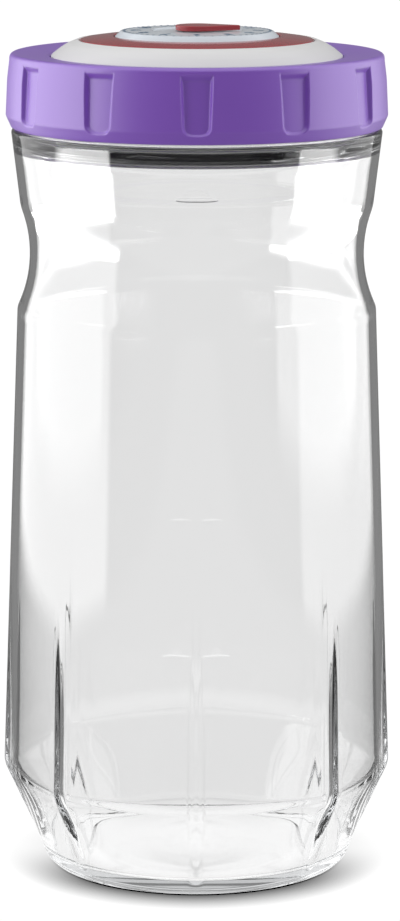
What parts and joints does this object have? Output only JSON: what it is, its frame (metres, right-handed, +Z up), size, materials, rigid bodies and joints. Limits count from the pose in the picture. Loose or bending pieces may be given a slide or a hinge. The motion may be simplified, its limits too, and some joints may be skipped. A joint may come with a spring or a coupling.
{
  "type": "storage jar",
  "caption": "Tall clear storage jar with a waist, ribbed tapered body and chamfered foot, closed by a purple grip ring over a white domed lid with a dial.",
  "frame": {"origin": "middle of the foot, on the surface the jar stands on", "axes": "+Z up along the jar's axis, -Y to the front with the level marks"},
  "size_m": [0.1036, 0.1036, 0.2235],
  "materials": {
    "clear_plastic": "clear, glossy, moulded",
    "purple_plastic": "satin gloss moulded plastic",
    "white_plastic": "satin gloss moulded plastic",
    "red_plastic": "satin gloss plastic",
    "pale_plastic": "glossy pale blue-white plastic"
  },
  "bodies": {
    "root": {"jar_body": "clear_plastic", "screw_ring": "purple_plastic", "lid_disc": "white_plastic", "dial_band": "red_plastic", "dial_plate": "pale_plastic", "dial_pointer": "red_plastic"}
  },
  "joints": []
}
